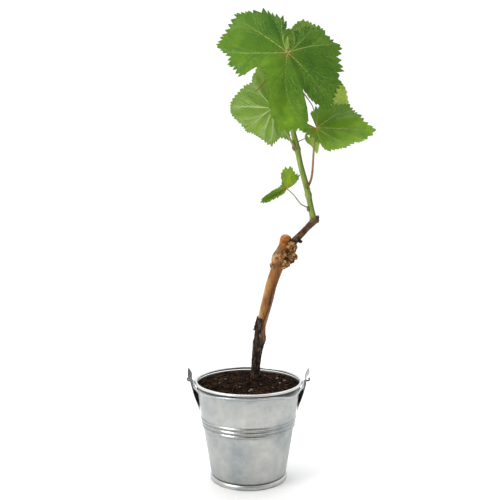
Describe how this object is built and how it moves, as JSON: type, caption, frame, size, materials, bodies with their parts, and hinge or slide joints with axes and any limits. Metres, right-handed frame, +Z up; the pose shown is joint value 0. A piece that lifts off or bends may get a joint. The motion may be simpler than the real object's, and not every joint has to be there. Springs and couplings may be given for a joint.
{
  "type": "young grapevine in a small pail",
  "caption": "Young grafted grapevine with a leaning woody trunk, a green shoot and lobed leaves, growing in a small zinc pail with a wire bail.",
  "frame": {"origin": "centre of the pail's flat underside, on the surface that it stands on", "axes": "+Z up; -Y is the front, which the largest leaf faces; +X is the side that the vine leans to"},
  "size_m": [0.182, 0.1097, 0.4565],
  "materials": {
    "zinc": "galvanised sheet, mottled, half gloss",
    "wire": "galvanised wire, bright",
    "compost": "moist dark potting mix with fibres",
    "bark": "tan above, dark and peeling below",
    "callus": "knobbly graft callus",
    "green_wood": "fresh green shoot, half gloss",
    "stalk": "leaf stalks, green to red",
    "leaf": "fresh vine leaf, half matt, raised veins below"
  },
  "bodies": {
    "planter": {"pail_wall": "zinc", "pail_base": "zinc", "ear_right": "zinc", "ear_left": "zinc", "soil": "compost", "trunk": "bark", "callus_right": "callus", "callus_left": "callus", "cane": "bark", "shoot": "green_wood", "stalk_large": "stalk", "stalk_back": "stalk", "stalk_left": "stalk", "stalk_right": "stalk", "stalk_small": "stalk", "stalk_folded": "stalk", "leaf_large": "leaf", "leaf_back": "leaf", "leaf_left": "leaf", "leaf_right": "leaf", "leaf_small": "leaf", "leaf_folded": "leaf", "leaf_tip": "leaf"},
    "bail": {"bail": "wire"}
  },
  "joints": [
    {"name": "bail_swing", "type": "hinge", "parent": "planter", "child": "bail", "pos_m": [0, 0, 0.0985], "axis": [-1, 0, 0], "range_deg": [0, 95]}
  ]
}
